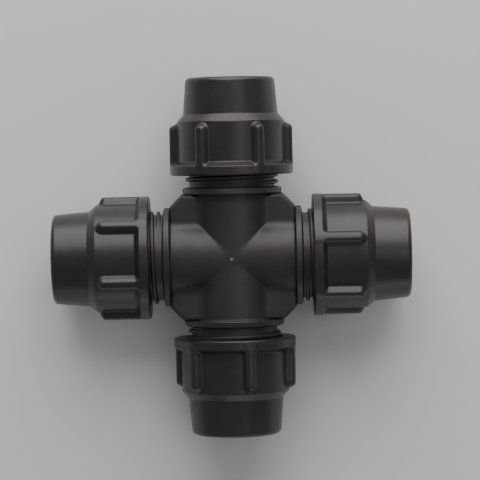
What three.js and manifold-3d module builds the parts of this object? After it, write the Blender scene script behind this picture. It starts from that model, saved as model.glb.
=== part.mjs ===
// Equal cross compression fitting for 32 mm polyethylene pipe.
//
// Two runs of tube cross at right angles in one moulded body. Each of the four legs ends in a
// male thread, and carries an O-ring, a thrust bush, a split grip ring and a screwed nut. The
// cross lies flat: its legs run along +X, -X, +Y and -Y, and the axes cross at the origin.
// All lengths are in millimetres. Every leg is made in its own frame, with +Y along the leg.
import * as THREE from "three";
import { mergeVertices } from "three/addons/utils/BufferGeometryUtils.js";
import Module from "manifold-3d";

const wasm = await Module();
wasm.setup();

const SIDES = 20; // flats on every round surface
const TURN = 2 * Math.PI;
const SAME_PLACE = 1e-4; // vertices closer than this are one vertex
const OVERRUN = 3; // how far a cut runs out past the end it opens

// Driving dimensions of the body, as distances from the centre along a leg and as radii.
const WATERWAY_RADIUS = 13;
const SOCKET_RADIUS = 16.4; // bore that the 32 mm pipe slides into
const BARREL_RADIUS = 20;
const PIPE_STOP = 19; // step that the pipe's end butts against
const COLLAR = { radius: 23.7, from: 30.2, to: 33.5 };
const MOUTH = 55.5; // end face of the threaded leg
const SEAL_SEAT = { radius: 18.8, from: 45 }; // recess for the O-ring and the nose of the bush
const MOUTH_CHAMFER = 0.7;
const WEB = { halfWidth: 30.2, cornerCut: 5.9, thickness: 26 }; // fills the corners between the legs

// The thread, shared by the legs and the nuts.
const PITCH = 3.2;
const THREAD_ROOT = 20.6;
const THREAD_CREST = 22.4;
const THREAD_GAP = 0.6; // between a crest and the root that faces it
const CREST_WIDTH = 0.8;
const FLANK_SLOPE = 0.28; // extra half width for each millimetre of depth
const BURIED = 0.7; // how far a ridge reaches into the wall that carries it
const LEAST_RISE = 0.02; // share of a ridge's height left at its very ends
const LEG_THREAD = { start: 35, turns: 4.75 };
const NUT_THREAD_TURNS = 2.25;

// The nut. Its own distances run outwards from its inner face.
const NUT_LENGTH = 47;
const NUT_TIGHT = 33.9; // where the inner face stands when the nut is screwed home
const FLANGE = { radius: 29.8, rim: 4.4, bevelEnd: 6.4 };
const NUT_BARREL = { radius: 26, end: 25.9 };
const NUT_SHOULDER_END = 29.2;
const NUT_COLLAR = { baseRadius: 22.9, endRadius: 21.5, rounding: 2.4 };
const NUT_MOUTH = { radius: 16.9, lip: 3.8, chamfer: 0.9 };
const NUT_BORE_END = 21.6;
const NUT_BORE_CHAMFER = 0.7;
const NUT_CONE = { from: 22, wideRadius: 22.5, narrowRadius: 18.6 };
const RIBS = {
  count: 6, topWidth: 3.6, topRadius: 29.8, topEnd: 22.6, slope: 1.2, slopeHeight: 3, core: 0.2,
};

// Loose pieces inside each nut.
const O_RING = { radius: 17.15, section: 1.3, centre: 46.6, sectionSides: 6 };
const BUSH = {
  bore: 16.25, noseRadius: 18.4, headRadius: 20.5, noseEnd: 49.2, head: 56.6, end: 59.3, chamfer: 0.6,
};
const GRIP = {
  inNut: 26.7, length: 15, gap: 0.6, slit: 3.2,
  teeth: 4, toothTip: 16.15, toothRoot: 17, toothFace: 0.5, plainEnd: 0.5, // plain end in teeth
};

// Which way each leg points, and how far its nut stands open from the tight position, in degrees.
const LEGS = [
  { name: "north", heading: 0, open: 629.3 },
  { name: "east", heading: -90, open: 520.8 },
  { name: "south", heading: 180, open: 584.2 },
  { name: "west", heading: 90, open: 696.5 },
];

const BLACK_PLASTIC = { color: 0x262626, roughness: 0.42, metalness: 0 };
const FINISH = {
  body: new THREE.MeshStandardMaterial(BLACK_PLASTIC),
  nut: new THREE.MeshStandardMaterial(BLACK_PLASTIC),
  bush: new THREE.MeshStandardMaterial({ color: 0x2c2c2e, roughness: 0.5, metalness: 0 }),
  grip: new THREE.MeshStandardMaterial({ color: 0xe6e4dc, roughness: 0.4, metalness: 0 }),
  seal: new THREE.MeshStandardMaterial({ color: 0x161616, roughness: 0.75, metalness: 0 }),
};

// A geometry's closed surface as a solid that can be joined and cut. A turned surface has
// triangles of no area where it meets its axis, and they are left out.
function solidOf(geometry) {
  const bare = new THREE.BufferGeometry();
  const source = geometry.index ? geometry.toNonIndexed() : geometry;
  bare.setAttribute("position", source.getAttribute("position"));
  const merged = mergeVertices(bare, SAME_PLACE);
  const corners = merged.index.array;
  const kept = [];
  for (let i = 0; i < corners.length; i += 3) {
    const [a, b, c] = corners.subarray(i, i + 3);
    if (a !== b && b !== c && c !== a) {
      kept.push(a, b, c);
    }
  }
  return new wasm.Manifold(
    new wasm.Mesh({
      numProp: 3,
      vertProperties: new Float32Array(merged.attributes.position.array),
      triVerts: new Uint32Array(kept),
    }),
  );
}

function geometryOf(solid) {
  const mesh = solid.getMesh();
  const geometry = new THREE.BufferGeometry();
  geometry.setAttribute("position", new THREE.BufferAttribute(mesh.vertProperties, 3));
  geometry.setIndex(new THREE.BufferAttribute(mesh.triVerts, 1));
  return geometry;
}

// A surface turned about the Y axis from an outline of [radius, distance along the axis].
function turned(outline) {
  return new THREE.LatheGeometry(outline.map(([r, y]) => new THREE.Vector2(r, y)), SIDES);
}

// A ring: its outline closes on itself.
function turnedRing(outline) {
  return turned([...outline, outline[0]]);
}

// Both legs of one run: the outline of one leg and its mirror image, closed on the axis.
function turnedRun(legOutline) {
  const end = legOutline.at(-1)[1];
  const mirrored = legOutline.map(([r, y]) => [r, -y]).reverse();
  return turned([[0, -end], ...mirrored, ...legOutline, [0, end]]);
}

// A screw thread's ridge, right-handed about +Y. It fades into the wall over its first and last
// quarter turn. The base lies inside the wall, and the tip stands out of it or into the bore.
function helicalRidge({ baseRadius, tipRadius, start, turns }) {
  const fade = SIDES / 4;
  const last = Math.round(turns * SIDES);
  const outward = Math.sign(tipRadius - baseRadius);
  const corners = [];
  for (let i = 0; i <= last; i++) {
    const rise = Math.min(1, Math.min(i, last - i) / fade);
    const tip = baseRadius + (tipRadius - baseRadius) * Math.max(rise, LEAST_RISE);
    const depth = Math.abs(tip - baseRadius);
    const half = CREST_WIDTH / 2;
    const angle = (i * TURN) / SIDES;
    const y = start + (i * PITCH) / SIDES;
    const section = [
      [baseRadius, y - half - depth * FLANK_SLOPE],
      [tip, y - half],
      [tip, y + half],
      [baseRadius, y + half + depth * FLANK_SLOPE],
    ];
    corners.push(section.map(([r, h]) => [r * Math.sin(angle), h, r * Math.cos(angle)]));
  }
  const triangles = [];
  const quad = (a, b, c, d) => triangles.push(a, b, c, a, c, d);
  for (let i = 0; i < last; i++) {
    for (let k = 0; k < 4; k++) {
      const next = (k + 1) % 4;
      quad(corners[i][k], corners[i + 1][k], corners[i + 1][next], corners[i][next]);
    }
  }
  quad(corners[0][0], corners[0][1], corners[0][2], corners[0][3]);
  quad(corners[last][3], corners[last][2], corners[last][1], corners[last][0]);
  if (outward < 0) {
    for (let i = 0; i < triangles.length; i += 3) {
      [triangles[i], triangles[i + 1]] = [triangles[i + 1], triangles[i]];
    }
  }
  const geometry = new THREE.BufferGeometry();
  geometry.setAttribute("position", new THREE.Float32BufferAttribute(triangles.flat(), 3));
  return geometry;
}

// The corner webs as one plate: a square with its corners cut off, centred on the parting plane.
function cornerWeb() {
  const edge = WEB.halfWidth;
  const cut = edge - WEB.cornerCut;
  const outline = new THREE.Shape([
    [edge, -cut], [edge, cut], [cut, edge], [-cut, edge],
    [-edge, cut], [-edge, -cut], [-cut, -edge], [cut, -edge],
  ].map(([x, y]) => new THREE.Vector2(x, y)));
  const plate = new THREE.ExtrudeGeometry(outline, { depth: WEB.thickness, bevelEnabled: false });
  return plate.translate(0, 0, -WEB.thickness / 2);
}

// The moulded cross: two runs, the webs and four threads, bored out for the water and the pipes.
function crossBody() {
  const beyond = MOUTH + OVERRUN;
  const outside = turnedRun([
    [BARREL_RADIUS, COLLAR.from],
    [COLLAR.radius, COLLAR.from],
    [COLLAR.radius, COLLAR.to],
    [THREAD_ROOT, COLLAR.to],
    [THREAD_ROOT, MOUTH - MOUTH_CHAMFER],
    [THREAD_ROOT - MOUTH_CHAMFER, MOUTH],
  ]);
  const bores = turnedRun([
    [WATERWAY_RADIUS, PIPE_STOP],
    [SOCKET_RADIUS, PIPE_STOP],
    [SOCKET_RADIUS, SEAL_SEAT.from],
    [SEAL_SEAT.radius, SEAL_SEAT.from],
    [SEAL_SEAT.radius, beyond],
  ]);
  const thread = helicalRidge({
    baseRadius: THREAD_ROOT - BURIED, tipRadius: THREAD_CREST, ...LEG_THREAD,
  });
  const quarterTurn = TURN / 4;
  let body = solidOf(outside).add(solidOf(outside.clone().rotateZ(quarterTurn)));
  body = body.add(solidOf(cornerWeb()));
  for (const leg of LEGS) {
    body = body.add(solidOf(thread.clone().rotateZ(THREE.MathUtils.degToRad(leg.heading))));
  }
  body = body.subtract(solidOf(bores)).subtract(solidOf(bores.clone().rotateZ(quarterTurn)));
  return geometryOf(body);
}

// One grip rib, standing on the nut's barrel. Its top runs from the inner face to a half-round
// outer end, and its sides and its outer end slope down to a wider foot.
function nutRib() {
  const half = RIBS.topWidth / 2;
  const outline = new THREE.Shape();
  outline.moveTo(-half, RIBS.slope);
  outline.lineTo(half, RIBS.slope);
  outline.absarc(0, RIBS.topEnd - half, half, 0, Math.PI, false);
  const rib = new THREE.ExtrudeGeometry(outline, {
    depth: RIBS.core,
    curveSegments: 4,
    bevelThickness: RIBS.slopeHeight,
    bevelSize: RIBS.slope,
    bevelSegments: 1,
  });
  return rib.translate(0, 0, RIBS.topRadius - RIBS.slopeHeight - RIBS.core);
}

// The nut: a ribbed barrel with a flange, a tapered collar round the pipe, and inside it the
// thread and the cone that closes the grip ring.
function nut() {
  const boreRadius = THREAD_CREST + THREAD_GAP;
  const inlet = NUT_MOUTH.radius + NUT_MOUTH.chamfer;
  const rim = NUT_COLLAR.endRadius;
  const round = NUT_COLLAR.rounding;
  const halfway = round * (1 - Math.SQRT1_2); // middle of the rounding, measured from its corner
  const shell = turnedRing([
    [boreRadius + NUT_BORE_CHAMFER, 0],
    [FLANGE.radius, 0],
    [FLANGE.radius, FLANGE.rim],
    [NUT_BARREL.radius, FLANGE.bevelEnd],
    [NUT_BARREL.radius, NUT_BARREL.end],
    [NUT_COLLAR.baseRadius, NUT_SHOULDER_END],
    [rim, NUT_LENGTH - round],
    [rim - halfway, NUT_LENGTH - halfway],
    [rim - round, NUT_LENGTH],
    [inlet, NUT_LENGTH],
    [NUT_MOUTH.radius, NUT_LENGTH - NUT_MOUTH.chamfer],
    [NUT_MOUTH.radius, NUT_LENGTH - NUT_MOUTH.lip],
    [NUT_CONE.narrowRadius, NUT_LENGTH - NUT_MOUTH.lip],
    [NUT_CONE.wideRadius, NUT_CONE.from],
    [boreRadius, NUT_BORE_END],
    [boreRadius, NUT_BORE_CHAMFER],
  ]);
  const thread = helicalRidge({
    baseRadius: boreRadius + BURIED,
    tipRadius: THREAD_ROOT + THREAD_GAP,
    start: LEG_THREAD.start + PITCH / 2 - NUT_TIGHT,
    turns: NUT_THREAD_TURNS,
  });
  let solid = solidOf(shell).add(solidOf(thread));
  const rib = nutRib();
  for (let i = 0; i < RIBS.count; i++) {
    solid = solid.add(solidOf(rib.clone().rotateY((i * TURN) / RIBS.count)));
  }
  return geometryOf(solid);
}

// The seal, a plain ring of round section.
function oRing() {
  const ring = new THREE.TorusGeometry(O_RING.radius, O_RING.section, O_RING.sectionSides, SIDES);
  return ring.rotateX(TURN / 4).translate(0, O_RING.centre, 0);
}

// The bush that the grip ring pushes: its nose presses the seal and its head stays outside.
function thrustBush() {
  return turnedRing([
    [BUSH.bore, BUSH.noseEnd],
    [BUSH.noseRadius, BUSH.noseEnd],
    [BUSH.noseRadius, BUSH.head],
    [BUSH.headRadius, BUSH.head],
    [BUSH.headRadius, BUSH.end - BUSH.chamfer],
    [BUSH.headRadius - BUSH.chamfer, BUSH.end],
    [BUSH.bore, BUSH.end],
  ]);
}

// The radius of the nut's inner cone at a distance from the nut's inner face.
function coneRadius(distance) {
  const length = NUT_LENGTH - NUT_MOUTH.lip - NUT_CONE.from;
  const share = (distance - NUT_CONE.from) / length;
  return NUT_CONE.wideRadius + (NUT_CONE.narrowRadius - NUT_CONE.wideRadius) * share;
}

// The split ring: a cone outside to match the nut, buttress teeth inside to hold the pipe, and
// a slit that lets it close. Its distances run outwards from its wide end.
function gripRing() {
  const wide = coneRadius(GRIP.inNut) - GRIP.gap;
  const narrow = coneRadius(GRIP.inNut + GRIP.length) - GRIP.gap;
  const step = GRIP.length / (GRIP.teeth + GRIP.plainEnd);
  const teeth = [];
  for (let i = GRIP.teeth; i > 0; i--) {
    teeth.push([GRIP.toothTip, i * step], [GRIP.toothRoot, i * step - GRIP.toothFace]);
  }
  const ring = turnedRing([
    [GRIP.toothRoot, 0],
    [wide, 0],
    [narrow, GRIP.length],
    [GRIP.toothRoot, GRIP.length],
    ...teeth,
  ]);
  const slit = new THREE.BoxGeometry(GRIP.slit, 2 * GRIP.length, 2 * wide);
  slit.translate(0, GRIP.length / 2, wide);
  return geometryOf(solidOf(ring).subtract(solidOf(slit)));
}

function piece(name, geometry, material) {
  const mesh = new THREE.Mesh(geometry, material);
  mesh.name = name;
  return mesh;
}

const shapes = { nut: nut(), seal: oRing(), bush: thrustBush(), grip: gripRing() };

// The loose pieces of one leg. The nut's turn and its place go together, as its thread says.
function legParts({ name, heading, open }) {
  const leg = new THREE.Group();
  leg.rotation.z = THREE.MathUtils.degToRad(heading);
  const nutPlace = NUT_TIGHT + (PITCH * open) / 360;
  const screwed = piece(`nut_${name}`, shapes.nut, FINISH.nut);
  screwed.position.y = nutPlace;
  screwed.rotation.y = THREE.MathUtils.degToRad(open);
  const grip = piece(`grip_ring_${name}`, shapes.grip, FINISH.grip);
  grip.position.y = nutPlace + GRIP.inNut;
  const bush = piece(`thrust_bush_${name}`, shapes.bush, FINISH.bush);
  const seal = piece(`o_ring_${name}`, shapes.seal, FINISH.seal);
  return leg.add(screwed, grip, bush, seal);
}

const cross = new THREE.Group();
cross.add(piece("cross_body", crossBody(), FINISH.body));
for (const leg of LEGS) {
  cross.add(legParts(leg));
}

export default cross;
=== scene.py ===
"""Looks for the cross compression fitting: fine moulded surfaces, materials, light and camera.

Shapes are worked out in millimetres and turned into metres when a mesh is made. Everything on a
leg is made along +Y, in the leg's own frame, and then turned to the leg's heading.
"""

import math

import bmesh
import bpy
import numpy as np
from mathutils import Matrix, Vector


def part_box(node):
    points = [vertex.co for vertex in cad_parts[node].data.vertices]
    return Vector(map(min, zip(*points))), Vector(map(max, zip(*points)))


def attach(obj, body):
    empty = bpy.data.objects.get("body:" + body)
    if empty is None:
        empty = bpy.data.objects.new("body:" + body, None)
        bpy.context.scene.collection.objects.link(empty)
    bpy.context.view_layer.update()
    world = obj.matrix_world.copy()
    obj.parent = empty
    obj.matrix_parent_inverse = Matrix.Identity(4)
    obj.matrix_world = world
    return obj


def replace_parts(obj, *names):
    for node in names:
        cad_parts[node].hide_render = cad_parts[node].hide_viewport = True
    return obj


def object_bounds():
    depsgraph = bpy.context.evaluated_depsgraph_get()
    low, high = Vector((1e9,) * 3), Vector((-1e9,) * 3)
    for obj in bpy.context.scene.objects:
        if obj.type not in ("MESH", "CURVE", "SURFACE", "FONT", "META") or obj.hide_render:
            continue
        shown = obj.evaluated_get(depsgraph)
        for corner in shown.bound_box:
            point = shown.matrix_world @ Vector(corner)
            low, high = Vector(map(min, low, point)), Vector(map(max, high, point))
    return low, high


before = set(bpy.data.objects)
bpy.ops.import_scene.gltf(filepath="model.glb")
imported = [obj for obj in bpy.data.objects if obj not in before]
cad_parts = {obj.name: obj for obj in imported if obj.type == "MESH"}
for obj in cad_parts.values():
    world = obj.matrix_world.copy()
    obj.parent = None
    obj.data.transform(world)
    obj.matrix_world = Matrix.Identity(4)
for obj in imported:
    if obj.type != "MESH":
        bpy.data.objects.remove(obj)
cad_low, cad_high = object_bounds()

MM = 0.001
TURN = 2 * math.pi
LEGS = {"north": 0, "east": -90, "south": 180, "west": 90}  # headings in degrees


def span(node, leg):
    """The nearest and the furthest distance of a CAD node along its leg, in millimetres."""
    heading = math.radians(LEGS[leg])
    along = Vector((-math.sin(heading), math.cos(heading), 0))
    return sorted(corner.dot(along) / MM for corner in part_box(node))


# Sizes that the frame gives.
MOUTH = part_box("cross_body")[1].x / MM  # end face of the threaded leg
WIDEST = cad_high.z / MM - 0.05  # the nut's flange
NUT_LENGTH = span("nut_north", "north")[1] - span("nut_north", "north")[0]
GRIP_LENGTH = span("grip_ring_north", "north")[1] - span("grip_ring_north", "north")[0]

OVERRUN = 3.0  # how far a cut runs out past the end it opens

# The body.
BARREL = 20.0
PLATE = {"half_width": 30.3, "half_height": 13.0, "arc_centre": -15.2, "arc": 60.0, "flat_from": 21.0}
PLATE_EDGE = 1.7  # rounding of the plate's edge
FILLET = 2.0  # reach of the blend where a barrel meets the plate's flat top
GROIN = 0.5  # reach of the blend where the two barrels meet
GRID = {"sweep": 74, "barrel": 38, "foot": 9, "flat": 14, "edge": 8}  # degrees, then lines
SIDE_SWELL = {"halfway": 0.08, "seam": 0.12}  # how far the plate's side stands out
LEG_CORE = {"from": 22.0, "inset": 0.4, "fillet": 1.8}  # a little inside the barrel
COLLAR = {"radius": 23.7, "from": 30.2, "to": 33.5, "slope": 0.5}
MOUTH_CHAMFER = 0.7
WATERWAY = 13.0
SOCKET = 16.4
PIPE_STOP = 19.0
SEAL_SEAT = {"radius": 18.8, "from": 45.0, "chamfer": 0.5}
GATE = {"x": -0.6, "y": -0.8, "radius": 0.75, "height": 0.45, "flare": 1.25, "buried": 1.0}
SEAM = {"height": 0.14, "half_width": 0.14, "spread": 1.6, "inset": 0.5}  # the parting line's flash

# The thread.
PITCH = 3.2
THREAD_ROOT = 20.6
THREAD_CREST = 22.4
THREAD_GAP = 0.6
THREAD_START = 35.0
LEG_TURNS = 4.75
NUT_TURNS = 2.25
THREAD_BURIED = 0.6
LEG_CREST = 0.65  # half widths of the two crests
NUT_CREST = 0.25
FLANK_SLOPE = 0.28  # extra half width for each millimetre of depth
CREST_BEVEL = 0.15
LEAST_RISE = 0.03  # share of a ridge's height left at its very ends
FADE_TURNS = 0.25  # length over which a ridge rises and falls
THREAD_STEPS = 96  # sections in each turn of a ridge

# The nut, measured outwards from its inner face.
NUT_TIGHT = 33.9
NUT_BARREL = 26.0
NUT = {"barrel_end": 25.8, "shoulder_end": 29.3, "collar_foot": 22.9, "collar_end": 21.5, "rounding": 2.4}
NUT_MOUTH = 16.9
NUT_MOUTH_CHAMFER = 0.9
NUT_BORE_CHAMFER = 0.7
RIB_COUNT = 6
RIB_TOP = WIDEST
RIB_FOOT = NUT_BARREL - 2  # only what lies beyond this radius carries ribs
RIB_MIDDLE = NUT_BARREL + 2  # radius at which a rib's width is measured
RIB = {"half_width": 1.8, "run": 1.8, "end_centre": 21.5, "from": 0.7, "to": 26.2}
RIB_ROUNDING = {"edge": 1.8, "foot": 0.9}
RIB_STEP = 0.5  # longest step along the nut where it carries ribs
RIB_COLUMNS = 31  # columns across a rib and its margins
GAP_COLUMNS = 15  # columns from one rib to the next, with both ends
RIB_MARGIN = 0.6
FLANGE = {"radius": WIDEST - 0.25, "rim": 4.4, "bevel_end": 6.5}
BORE = THREAD_CREST + THREAD_GAP
CONE = {"from": 22.0, "wide": 22.5, "narrow": 18.6, "step": 0.4}
LIP = 3.8

# Loose rings.
SEAL = {"radius": 17.15, "section": 1.3, "sides": 24}
BUSH = {"bore": 16.25, "nose": 18.4, "head": 20.5, "head_length": 2.7}
GRIP = {
    "in_nut": 26.7, "tip": 16.15, "root": 17.0, "slit": 3.2, "gap": 0.6,
    "teeth": 4, "tooth_face": 0.5, "plain_end": 0.5,  # the plain end is measured in teeth
}

FLOOR = {"half_width": 4000, "top": 0.3, "bottom": 10}  # how far each lies below the fitting

AROUND = 160  # columns of a plain turned surface
HALVINGS = 30
ARC_STEP = math.radians(12)


# Outlines and meshes


def rounded(corners, closed=True):
    """A polyline through corners (a, b, radius), with each radius above zero made into an arc."""
    points = []
    for i, (a, b, radius) in enumerate(corners):
        here = np.array((a, b), float)
        if radius == 0 or (not closed and i in (0, len(corners) - 1)):
            points.append(here)
            continue
        back = np.array(corners[i - 1][:2], float) - here
        ahead = np.array(corners[(i + 1) % len(corners)][:2], float) - here
        back /= np.linalg.norm(back)
        ahead /= np.linalg.norm(ahead)
        half = math.acos(np.clip(back @ ahead, -1, 1)) / 2
        middle = (back + ahead) / np.linalg.norm(back + ahead)
        centre = here + middle * radius / math.sin(half)
        start = here + back * radius / math.tan(half) - centre
        end = here + ahead * radius / math.tan(half) - centre
        swing = math.pi - 2 * half
        steps = max(2, math.ceil(swing / ARC_STEP))
        for k in range(steps + 1):
            t = k / steps
            spoke = (math.sin((1 - t) * swing) * start + math.sin(t * swing) * end) / math.sin(swing)
            points.append(centre + spoke)
    return points


def subdivided(points, longest, wanted):
    """The closed polyline with its long segments split, where wanted(point) is true at both ends."""
    finer = []
    for i, here in enumerate(points):
        ahead = points[(i + 1) % len(points)]
        pieces = 1
        if wanted(here) and wanted(ahead):
            pieces = max(1, math.ceil(np.linalg.norm(ahead - here) / longest))
        finer += [here + (ahead - here) * k / pieces for k in range(pieces)]
    return finer


def mesh_object(name, vertices, faces):
    mesh = bpy.data.meshes.new(name)
    mesh.from_pydata([tuple(MM * float(c) for c in v) for v in vertices], [], faces)
    tidy = bmesh.new()
    tidy.from_mesh(mesh)
    bmesh.ops.recalc_face_normals(tidy, faces=tidy.faces)
    tidy.to_mesh(mesh)
    tidy.free()
    made = bpy.data.objects.new(name, mesh)
    bpy.context.scene.collection.objects.link(made)
    return made


def turned(name, outline, angles=None, shape=None):
    """A solid turned about the Y axis from points of (radius, distance). The outline closes on
    itself, or starts and ends on the axis. shape(radius, distance, angle) may change a radius."""
    if angles is None:
        angles = [TURN * k / AROUND for k in range(AROUND)]
    vertices = []
    rings = []
    for radius, distance in outline:
        ring = []
        for angle in angles if radius > 1e-6 else angles[:1]:
            r = shape(radius, distance, angle) if shape else radius
            ring.append(len(vertices))
            vertices.append((r * math.sin(angle), distance, r * math.cos(angle)))
        rings.append(ring)
    faces = []
    count = len(angles)
    pairs = list(zip(rings, rings[1:]))
    if len(rings[0]) > 1:
        pairs.append((rings[-1], rings[0]))
    for low, high in pairs:
        for k in range(count):
            n = (k + 1) % count
            if len(low) == 1:
                faces.append((low[0], high[n], high[k]))
            elif len(high) == 1:
                faces.append((low[k], low[n], high[0]))
            else:
                faces.append((low[k], low[n], high[n], high[k]))
    return mesh_object(name, vertices, faces)


def thread_ridge(name, base, tip, crest, start, turns):
    """A right-handed screw ridge about the Y axis, with a crest of the given half width."""
    last = round(turns * THREAD_STEPS)
    vertices = []
    for i in range(last + 1):
        rise = max(LEAST_RISE, min(1.0, min(i, last - i) / (FADE_TURNS * THREAD_STEPS)))
        top = base + (tip - base) * rise
        foot = crest + FLANK_SLOPE * abs(top - base)
        bevel = CREST_BEVEL * rise
        edge = top - math.copysign(bevel, tip - base)
        angle = TURN * i / THREAD_STEPS
        y = start + PITCH * i / THREAD_STEPS
        section = [
            (base, -foot), (edge, -crest - FLANK_SLOPE * bevel), (top, bevel - crest),
            (top, crest - bevel), (edge, crest + FLANK_SLOPE * bevel), (base, foot),
        ]
        vertices += [(r * math.sin(angle), y + h, r * math.cos(angle)) for r, h in section]
    corners = len(section)
    faces = []
    for i in range(last):
        for k in range(corners):
            n = (k + 1) % corners
            a, b = i * corners, (i + 1) * corners
            faces.append((a + k, b + k, b + n, a + n))
    faces.append(tuple(range(corners)))
    faces.append(tuple(last * corners + k for k in reversed(range(corners))))
    return mesh_object(name, vertices, faces)


def block(name, low, high):
    """A box between two corners."""
    vertices = [(x, y, z) for x in (low[0], high[0]) for y in (low[1], high[1]) for z in (low[2], high[2])]
    faces = [(0, 1, 3, 2), (4, 6, 7, 5), (0, 4, 5, 1), (2, 3, 7, 6), (0, 2, 6, 4), (1, 5, 7, 3)]
    return mesh_object(name, vertices, faces)


def combine(base, others, operation):
    """Joins the other solids to the base, or cuts them from it, and removes them."""
    for other in others:
        change = base.modifiers.new(operation, "BOOLEAN")
        change.operation = operation
        change.solver = "MANIFOLD"
        change.object = other
    graph = bpy.context.evaluated_depsgraph_get()
    shaped = bpy.data.meshes.new_from_object(base.evaluated_get(graph))
    base.modifiers.clear()
    base.data = shaped
    for other in others:
        bpy.data.objects.remove(other)
    return base


def to_leg(obj, leg, turn=0.0):
    """Turns a piece about its own axis, and then from +Y to the leg's heading."""
    heading = Matrix.Rotation(math.radians(LEGS[leg]), 4, "Z")
    obj.data.transform(heading @ Matrix.Rotation(turn, 4, "Y"))
    return obj


def finish_surface(obj, material, sharp=34):
    """Smooth shading with crisp edges, and one material."""
    obj.data.shade_smooth()
    obj.data.set_sharp_from_angle(angle=math.radians(sharp))
    normals = obj.modifiers.new("normals", "WEIGHTED_NORMAL")
    normals.keep_sharp = True
    obj.data.materials.clear()
    obj.data.materials.append(material)
    return obj


# The body


def soft_min(a, b, blend):
    """The smaller of two distances, blended where they are close, which leaves a fillet."""
    near = np.maximum(blend - np.abs(a - b), 0) / blend
    return np.minimum(a, b) - near * near * blend / 4


def plate_outline(t):
    """A point on the plate's edge, from beside a barrel at 0 to the middle of the corner at 1."""
    wide, centre, arc = PLATE["half_width"], PLATE["arc_centre"], PLATE["arc"]
    first = math.acos((wide - centre) / arc)
    straight = centre + arc * math.sin(first) - PLATE["flat_from"]
    curved = arc * (math.pi / 4 - first)
    run = t * (straight + curved)
    if run <= straight:
        return np.array((wide, PLATE["flat_from"] + run))
    angle = first + (run - straight) / arc
    return np.array((centre + arc * math.cos(angle), centre + arc * math.sin(angle)))


def plate_point(u, v):
    """Moves a point of a square grid so that the grid's rim follows the plate's edge. It also
    gives how far the point lies inside the rim."""
    inner = PLATE["flat_from"]
    reach = PLATE["half_width"] - inner
    a, b = abs(u), abs(v)
    if a <= inner or b <= inner:
        return u, v, PLATE["half_width"] - max(a, b)
    ring = max(a - inner, b - inner) / reach
    rim = plate_outline(min(a - inner, b - inner) / reach / ring)
    if b > a:
        rim = rim[::-1]
    out = rim - inner
    place = inner + ring * out
    return math.copysign(place[0], u), math.copysign(place[1], v), (1 - ring) * np.linalg.norm(out)


def outside_crossing(x, y, z, inside):
    """Distance out of the crossing: two barrels, and the plate with its rounded edge."""
    barrels = soft_min(np.hypot(y, z) - BARREL, np.hypot(x, z) - BARREL, GROIN)
    over = np.maximum(z - PLATE["half_height"] + PLATE_EDGE, 0)
    past = np.maximum(PLATE_EDGE - inside, 0)
    plate = np.where(past > 0, np.hypot(past, over), over) - PLATE_EDGE
    return soft_min(barrels, plate, FILLET)


def crossing_heights(x, y, inside):
    """Heights of the top surface at many places, found by halving the range again and again."""
    above = BARREL + 2
    low, high = np.zeros(len(x)), np.full(len(x), above)
    for _ in range(HALVINGS):
        middle = (low + high) / 2
        outside = outside_crossing(x, y, middle, inside) > 0
        high = np.where(outside, middle, high)
        low = np.where(outside, low, middle)
    return low


def grid_lines():
    """Grid lines from the middle to the rim: even steps round the barrel, fine ones to its
    foot, wider ones over the plate, and fine ones at the plate's rounded edge."""
    inner, rim = PLATE["flat_from"], PLATE["half_width"]
    sweep = math.radians(GRID["sweep"])
    barrel = [BARREL * math.sin(a) for a in np.linspace(0, sweep, GRID["barrel"])]
    foot = list(np.linspace(barrel[-1], inner, GRID["foot"]))[1:]
    flat = list(np.linspace(inner, rim - PLATE_EDGE, GRID["flat"]))[1:]
    turns = np.linspace(0, math.pi / 2, GRID["edge"])[1:]
    edge = [rim - PLATE_EDGE * (1 - math.sin(a)) for a in turns]
    half = barrel + foot + flat + edge
    return [-v for v in reversed(half[1:])] + half


def crossing():
    """The middle of the body, out to the collars. Its side carries the parting line's flash."""
    lines = grid_lines()
    count = len(lines)
    x, y, inside = np.array([plate_point(u, v) for u in lines for v in lines]).T
    top = list(zip(x, y, crossing_heights(x, y, inside)))
    bottom = [(x, y, -z) for x, y, z in top]
    vertices = top + bottom
    faces = []
    for i in range(count - 1):
        for j in range(count - 1):
            a, b = i * count + j, (i + 1) * count + j
            quad = [a, b, b + 1, a + 1]
            under = [v + len(top) for v in quad]
            # Triangles follow the groins, which run along the grid's diagonals.
            if (lines[i] + lines[i + 1]) * (lines[j] + lines[j + 1]) > 0:
                splits = ((0, 1, 2), (0, 2, 3))
            else:
                splits = ((0, 1, 3), (1, 2, 3))
            for corners in (quad, under):
                faces += [tuple(corners[k] for k in split) for split in splits]
    rim = [i * count for i in range(count)]
    rim += [(count - 1) * count + j for j in range(1, count)]
    rim += [i * count + count - 1 for i in range(count - 2, -1, -1)]
    rim += list(range(count - 2, 0, -1))
    halfway, seam = SIDE_SWELL["halfway"], SIDE_SWELL["seam"]
    crest, foot = SEAM["half_width"], SEAM["half_width"] * SEAM["spread"]
    flash = seam + SEAM["height"]
    # Rows down the side: a share of the top's height or a fixed height, and how far out.
    side = [
        (0.5, None, halfway), (None, foot, seam), (None, crest, flash),
        (None, -crest, flash), (None, -foot, seam), (-0.5, None, halfway),
    ]
    rows = [rim]
    for share, fixed, out in side:
        row = []
        for index in rim:
            x, y, z = top[index]
            swell = 1 + out / math.hypot(x, y)
            row.append(len(vertices))
            vertices.append((x * swell, y * swell, z * share if fixed is None else fixed))
        rows.append(row)
    rows.append([index + len(top) for index in rim])
    for upper, lower in zip(rows, rows[1:]):
        for k in range(len(rim)):
            n = (k + 1) % len(rim)
            faces.append((upper[k], upper[n], lower[n], lower[k]))
    return mesh_object("body_moulding", vertices, faces)


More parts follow.
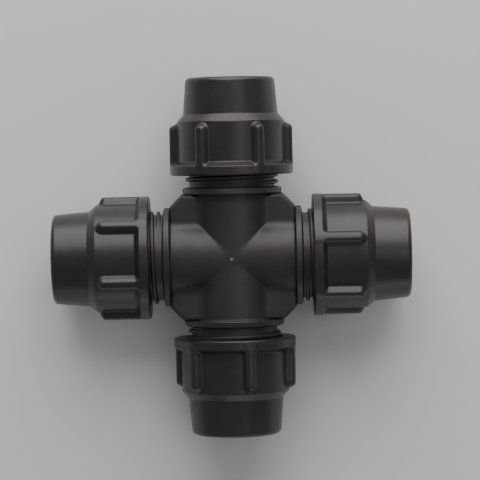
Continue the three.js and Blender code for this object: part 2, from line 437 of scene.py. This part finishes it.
def leg_outline():
    """Collar and thread core of one leg, from inside the crossing to the mouth."""
    core, start = BARREL - LEG_CORE["inset"], LEG_CORE["from"]
    collar, end = COLLAR["radius"], COLLAR["to"]
    return rounded([
        (0, start, 0), (core, start, 0), (core, COLLAR["from"], LEG_CORE["fillet"]),
        (collar, COLLAR["from"], 0.6), (collar - COLLAR["slope"], end, 0.8),
        (THREAD_ROOT, end, 0.5), (THREAD_ROOT, MOUTH - MOUTH_CHAMFER, 0),
        (THREAD_ROOT - MOUTH_CHAMFER, MOUTH, 0), (0, MOUTH, 0),
    ], closed=False)


def bore_outline():
    """Everything that is bored out of one run, from mouth to mouth."""
    beyond = MOUTH + OVERRUN
    seat, chamfer = SEAL_SEAT["radius"], SEAL_SEAT["chamfer"]
    leg = [
        (WATERWAY, PIPE_STOP, 0.25), (SOCKET, PIPE_STOP, 0.4), (SOCKET, SEAL_SEAT["from"], 0.4),
        (seat, SEAL_SEAT["from"], 0.4), (seat, MOUTH - chamfer, 0),
        (seat + chamfer, MOUTH, 0), (seat + chamfer, beyond, 0),
    ]
    mirrored = [(r, -y, radius) for r, y, radius in reversed(leg)]
    return rounded([(0, -beyond, 0)] + mirrored + leg + [(0, beyond, 0)], closed=False)


def gate_mark():
    """The stub left where the plastic was fed into the mould, on top of the crossing."""
    foot, top = BARREL - GATE["buried"], BARREL + GATE["height"]
    stub = turned("gate", rounded([
        (0, foot, 0), (GATE["radius"] * GATE["flare"], foot, 0), (GATE["radius"], top, 0.25), (0, top, 0),
    ], closed=False))
    stub.data.transform(Matrix.Rotation(math.pi / 2, 4, "X"))
    stub.data.transform(Matrix.Translation((GATE["x"] * MM, GATE["y"] * MM, 0)))
    return stub


def body(material):
    made = crossing()
    parts = [gate_mark()]
    foot = THREAD_ROOT - THREAD_BURIED
    seam = SEAM["half_width"]
    edge = COLLAR["radius"] + SEAM["height"]
    near, far = COLLAR["from"] + SEAM["inset"], COLLAR["to"] - SEAM["inset"]
    for leg in LEGS:
        ridge = thread_ridge("ridge", foot, THREAD_CREST, LEG_CREST, THREAD_START, LEG_TURNS)
        flash = block("flash", (-edge, near, -seam), (edge, far, seam))
        parts += [to_leg(piece, leg) for piece in (turned("leg", leg_outline()), ridge, flash)]
    combine(made, parts, "UNION")
    bores = [to_leg(turned("bore", bore_outline()), leg) for leg in ("north", "east")]
    combine(made, bores, "DIFFERENCE")
    finish_surface(made, material)
    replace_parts(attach(made, "body"), "cross_body")


# The nuts


def rib_side():
    """Height of a rib across its side: a level top, a round edge and a fillet at the foot. It
    is a share of the full height, at distances from the edge of the top."""
    height = RIB_TOP - NUT_BARREL
    points = rounded([
        (-RIB["half_width"], height, 0), (0.0, height, RIB_ROUNDING["edge"]),
        (RIB["run"], 0.0, RIB_ROUNDING["foot"]), (RIB["run"] + 1, 0.0, 0),
    ], closed=False)
    return [p[0] for p in points], [p[1] / height for p in points]


RIB_SIDE = rib_side()


def ribbed(radius, distance, angle):
    """The nut's outer radius, with its ribs. Each rib's outer end is half-round."""
    if radius < RIB_FOOT or not RIB["from"] < distance < RIB["to"]:
        return radius
    sector = TURN / RIB_COUNT
    off = (angle + sector / 2) % sector - sector / 2
    across = RIB_MIDDLE * math.sin(abs(off))
    past = max(distance - RIB["end_centre"], 0)
    share = np.interp(math.hypot(across, past) - RIB["half_width"], *RIB_SIDE)
    return radius + max(RIB_TOP - radius, 0) * share


def nut_columns():
    """Angles of the nut's columns: close together on the ribs, wide apart between them."""
    sector = TURN / RIB_COUNT
    foot = math.asin((RIB["half_width"] + RIB["run"] + RIB_MARGIN) / RIB_MIDDLE)
    on_rib = np.linspace(-foot, foot, RIB_COLUMNS)
    between = np.linspace(foot, sector - foot, GAP_COLUMNS)[1:-1]
    return [k * sector + a for k in range(RIB_COUNT) for a in (*on_rib, *between)]


def nut_outline():
    """Section of one nut, from the chamfer of its thread round the outside and back inside."""
    flange, lip = FLANGE["radius"], NUT_LENGTH - LIP
    return rounded([
        (BORE + NUT_BORE_CHAMFER, 0, 0), (flange, 0, 0.8), (flange, FLANGE["rim"], 0.6),
        (NUT_BARREL, FLANGE["bevel_end"], 0.9), (NUT_BARREL, NUT["barrel_end"], 1.1),
        (NUT["collar_foot"], NUT["shoulder_end"], 1.1), (NUT["collar_end"], NUT_LENGTH, NUT["rounding"]),
        (NUT_MOUTH + NUT_MOUTH_CHAMFER, NUT_LENGTH, 0.3), (NUT_MOUTH, NUT_LENGTH - NUT_MOUTH_CHAMFER, 0.2),
        (NUT_MOUTH, lip, 0), (CONE["narrow"], lip, 0.3), (CONE["wide"], CONE["from"], 0.2),
        (BORE, CONE["from"] - CONE["step"], 0), (BORE, NUT_BORE_CHAMFER, 0),
    ])


def carries_ribs(point):
    """Whether a point of the nut's outline lies on the outside that the ribs stand on."""
    radius, distance = point
    return radius > NUT_BARREL - 1.2 and distance > 0.5


def nut(leg, material):
    near, _ = span(f"nut_{leg}", leg)
    screwed = TURN * (near - NUT_TIGHT) / PITCH
    outline = subdivided(nut_outline(), RIB_STEP, carries_ribs)
    made = turned(f"nut_moulding_{leg}", outline, angles=nut_columns(), shape=ribbed)
    start = THREAD_START + PITCH / 2 - NUT_TIGHT
    foot, tip = BORE + THREAD_BURIED, THREAD_ROOT + THREAD_GAP
    ridge = thread_ridge("ridge", foot, tip, NUT_CREST, start, NUT_TURNS)
    combine(made, [ridge], "UNION")
    made.data.transform(Matrix.Translation((0, near * MM, 0)))
    to_leg(made, leg, screwed)
    finish_surface(made, material)
    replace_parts(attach(made, f"{leg}_nut"), f"nut_{leg}")


# The loose rings inside each nut


def seal(leg, material):
    near, far = span(f"o_ring_{leg}", leg)
    centre = (near + far) / 2
    circle = [
        (SEAL["radius"] + SEAL["section"] * math.cos(a), centre + SEAL["section"] * math.sin(a))
        for a in np.linspace(0, TURN, SEAL["sides"], endpoint=False)
    ]
    made = to_leg(turned(f"seal_ring_{leg}", circle), leg)
    finish_surface(made, material)
    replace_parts(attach(made, "body"), f"o_ring_{leg}")


def bush(leg, material):
    near, far = span(f"thrust_bush_{leg}", leg)
    head = far - BUSH["head_length"]
    made = turned(f"thrust_collar_{leg}", rounded([
        (BUSH["bore"], near, 0.3), (BUSH["nose"], near, 0.3), (BUSH["nose"], head, 0.3),
        (BUSH["head"], head, 0.3), (BUSH["head"], far, 0.6), (BUSH["bore"], far, 0.3),
    ]))
    finish_surface(to_leg(made, leg), material)
    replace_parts(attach(made, f"{leg}_bush"), f"thrust_bush_{leg}")


def cone_radius(distance):
    """The radius of the nut's inner cone at a distance from the nut's inner face."""
    share = (distance - CONE["from"]) / (NUT_LENGTH - LIP - CONE["from"])
    return CONE["wide"] + (CONE["narrow"] - CONE["wide"]) * share


def grip(leg, material):
    near, far = span(f"grip_ring_{leg}", leg)
    wide = cone_radius(GRIP["in_nut"]) - GRIP["gap"]
    narrow = cone_radius(GRIP["in_nut"] + GRIP_LENGTH) - GRIP["gap"]
    step = GRIP_LENGTH / (GRIP["teeth"] + GRIP["plain_end"])
    root, face = GRIP["root"], GRIP["tooth_face"]
    teeth = []
    for i in range(GRIP["teeth"], 0, -1):
        teeth += [(GRIP["tip"], near + i * step, 0.08), (root, near + i * step - face, 0.15)]
    made = turned(f"grip_cone_{leg}", rounded([
        (root, near, 0.2), (wide, near, 0.4), (narrow, far, 0.4), (root, far, 0.2), *teeth,
    ]))
    half = GRIP["slit"] / 2
    slit = block("slit", (-half, near - OVERRUN, 0), (half, far + OVERRUN, wide + OVERRUN))
    combine(made, [slit], "DIFFERENCE")
    finish_surface(to_leg(made, leg), material)
    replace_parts(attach(made, f"{leg}_ring"), f"grip_ring_{leg}")


# Materials


class Shader:
    """A node material that is built up call by call."""

    def __init__(self, name):
        self.material = bpy.data.materials.new(name)
        self.material.use_nodes = True
        self.tree = self.material.node_tree
        self.surface = self.tree.nodes["Principled BSDF"]
        self.place = self.node("ShaderNodeTexCoord").outputs["Object"]

    def node(self, kind, **settings):
        made = self.tree.nodes.new(kind)
        for key, value in settings.items():
            setattr(made, key, value)
        return made

    def link(self, source, target):
        self.tree.links.new(source, target)

    def noise(self, per_metre, detail=3.0, roughness=0.55):
        made = self.node("ShaderNodeTexNoise")
        made.inputs["Scale"].default_value = per_metre
        made.inputs["Detail"].default_value = detail
        made.inputs["Roughness"].default_value = roughness
        self.link(self.place, made.inputs["Vector"])
        return made.outputs["Fac"]

    def ranged(self, value, low, high, to_low=0.0, to_high=1.0):
        made = self.node("ShaderNodeMapRange")
        made.inputs["From Min"].default_value = low
        made.inputs["From Max"].default_value = high
        made.inputs["To Min"].default_value = to_low
        made.inputs["To Max"].default_value = to_high
        self.link(value, made.inputs["Value"])
        return made.outputs["Result"]

    def mixed(self, factor, first, second):
        """A mix of two colours, each a colour or a node's output."""
        made = self.node("ShaderNodeMix", data_type="RGBA")
        self.link(factor, made.inputs["Factor"])
        for socket, colour in zip(("A", "B"), (first, second)):
            target = [s for s in made.inputs if s.name == socket and s.type == "RGBA"][0]
            if isinstance(colour, tuple):
                target.default_value = (*colour, 1)
            else:
                self.link(colour, target)
        return [s for s in made.outputs if s.type == "RGBA"][0]

    def near(self, point, inner, outer):
        """One close to a point and nothing far from it, with both distances in metres."""
        gap = self.node("ShaderNodeVectorMath", operation="DISTANCE")
        self.link(self.place, gap.inputs[0])
        gap.inputs[1].default_value = point
        return self.ranged(gap.outputs["Value"], inner, outer, 1.0, 0.0)

    def bumps(self, *layers):
        """Bump layers of (height, depth in metres), one on top of another."""
        previous = None
        for height, depth in layers:
            made = self.node("ShaderNodeBump")
            made.inputs["Distance"].default_value = depth
            self.link(height, made.inputs["Height"])
            if previous:
                self.link(previous, made.inputs["Normal"])
            previous = made.outputs["Normal"]
        self.link(previous, self.surface.inputs["Normal"])


def moulded_plastic(name, dark, light, rough_low, rough_high, grain_depth, marks=()):
    """Satin plastic from a mould: fine grain, slow sink marks, cloudy rubbing and small specks.
    marks are spots of colour, each a point, an inner and an outer radius in metres, and a tone."""
    shader = Shader(name)
    cloud = shader.noise(90, detail=6)
    rubbed = shader.ranged(cloud, 0.35, 0.75)
    colour = shader.mixed(rubbed, dark, light)
    specks = shader.ranged(shader.noise(1500, detail=1), 0.79, 0.83, 0.0, 0.35)
    colour = shader.mixed(specks, colour, (0.10, 0.10, 0.105))
    for point, inner, outer, tone in marks:
        colour = shader.mixed(shader.near(point, inner, outer), colour, tone)
    shader.link(colour, shader.surface.inputs["Base Color"])
    scuffs = shader.noise(420, detail=5, roughness=0.65)
    shader.link(shader.ranged(scuffs, 0.3, 0.7, rough_low, rough_high), shader.surface.inputs["Roughness"])
    grain = shader.noise(2600, detail=4, roughness=0.6)
    shader.bumps((shader.noise(55, detail=2), 0.00035), (grain, grain_depth))
    shader.surface.inputs["IOR"].default_value = 1.49
    return shader.material


def natural_plastic():
    """Undyed acetal: off-white, slightly waxy, with light let in at the surface."""
    shader = Shader("natural_plastic")
    cloud = shader.ranged(shader.noise(120, detail=4), 0.3, 0.7)
    colour = shader.mixed(cloud, (0.80, 0.78, 0.71), (0.70, 0.68, 0.60))
    shader.link(colour, shader.surface.inputs["Base Color"])
    shader.link(shader.ranged(shader.noise(500), 0.3, 0.7, 0.3, 0.45), shader.surface.inputs["Roughness"])
    shader.surface.inputs["Subsurface Weight"].default_value = 0.15
    shader.surface.inputs["Subsurface Radius"].default_value = (0.002, 0.0018, 0.0014)
    shader.bumps((shader.noise(1800), 0.00002))
    return shader.material


def seal_rubber():
    """Black rubber with a fine dull skin."""
    shader = Shader("seal_rubber")
    bloom = shader.ranged(shader.noise(700, detail=5), 0.4, 0.7)
    colour = shader.mixed(bloom, (0.010, 0.010, 0.010), (0.022, 0.022, 0.023))
    shader.link(colour, shader.surface.inputs["Base Color"])
    shader.link(shader.ranged(shader.noise(900), 0.3, 0.7, 0.6, 0.8), shader.surface.inputs["Roughness"])
    shader.bumps((shader.noise(2400), 0.00002))
    return shader.material


def floor_paint():
    """Matt pale paint with a very slight mottle."""
    shader = Shader("floor_paint")
    colour = shader.mixed(shader.noise(6, detail=5), (0.72, 0.73, 0.74), (0.78, 0.79, 0.80))
    shader.link(colour, shader.surface.inputs["Base Color"])
    shader.surface.inputs["Roughness"].default_value = 0.9
    shader.bumps((shader.noise(900), 0.00003))
    return shader.material


# The stage, the light and the camera


def floor():
    half, lowest = FLOOR["half_width"], cad_low.z / MM
    made = block("floor", (-half, -half, lowest - FLOOR["bottom"]), (half, half, lowest - FLOOR["top"]))
    made.data.materials.append(floor_paint())


def softbox(name, place, target, width, height, watts, colour=(1, 1, 1)):
    light = bpy.data.lights.new(name, "AREA")
    light.shape = "RECTANGLE"
    light.size = width
    light.size_y = height
    light.energy = watts
    light.color = colour
    lamp = bpy.data.objects.new(name, light)
    bpy.context.scene.collection.objects.link(lamp)
    lamp.location = place
    lamp.rotation_euler = (Vector(target) - Vector(place)).to_track_quat("-Z", "Y").to_euler()


def lights():
    """A tall softbox standing beyond the north leg, a weak one high in the east, and a low weak
    fill from the south."""
    softbox("key", (0.05, 0.8, 0.72), (0.05, 0, 0.72), 1.1, 1.5, 19.5, colour=(1, 0.97, 0.94))
    softbox("top", (0.62, 0.1, 1.45), (0, 0, 0), 0.7, 0.7, 1.6)
    softbox("fill", (0.3, -1.2, 0.13), (0.3, 0, 0.13), 1.2, 0.3, 1.6)
    world = bpy.data.worlds.new("studio")
    world.use_nodes = True
    world.node_tree.nodes["Background"].inputs["Color"].default_value = (0.78, 0.775, 0.77, 1)
    world.node_tree.nodes["Background"].inputs["Strength"].default_value = 0.36
    bpy.context.scene.world = world


def camera():
    """A long lens above the fitting, leaning a little to the east and to the north."""
    distance = 1.2
    lean_east, lean_north = math.radians(0.6), math.radians(2.6)
    roll = math.radians(1.2)
    place = Vector((distance * math.sin(lean_east), distance * math.sin(lean_north), distance))
    aim = Vector((0.0034, 0.0077, 0))
    back = (place - aim).normalized()
    right = Vector((math.sin(roll), math.cos(roll), 0)).cross(back).normalized()
    up = back.cross(right)
    data = bpy.data.cameras.new("camera")
    data.sensor_width = 36
    data.lens = 186
    data.clip_end = 20
    seen = bpy.data.objects.new("camera", data)
    bpy.context.scene.collection.objects.link(seen)
    seen.matrix_world = Matrix.Translation(place) @ Matrix((right, up, back)).transposed().to_4x4()
    bpy.context.scene.camera = seen


def build():
    gate = (GATE["x"] * MM, GATE["y"] * MM, (BARREL + GATE["height"]) * MM)
    body_plastic = moulded_plastic(
        "body_plastic", (0.018, 0.018, 0.0182), (0.027, 0.0268, 0.0266), 0.38, 0.48, 0.00005,
        marks=[(gate, 0.0006, 0.0011, (0.16, 0.15, 0.145))])
    nut_plastic = moulded_plastic(
        "nut_plastic", (0.015, 0.015, 0.0152), (0.022, 0.0218, 0.0216), 0.28, 0.38, 0.00003)
    bush_plastic = moulded_plastic(
        "bush_plastic", (0.024, 0.024, 0.026), (0.034, 0.034, 0.036), 0.4, 0.5, 0.00003)
    white = natural_plastic()
    rubber = seal_rubber()
    body(body_plastic)
    for leg in LEGS:
        nut(leg, nut_plastic)
        grip(leg, white)
        bush(leg, bush_plastic)
        seal(leg, rubber)


build()
floor()
lights()
camera()
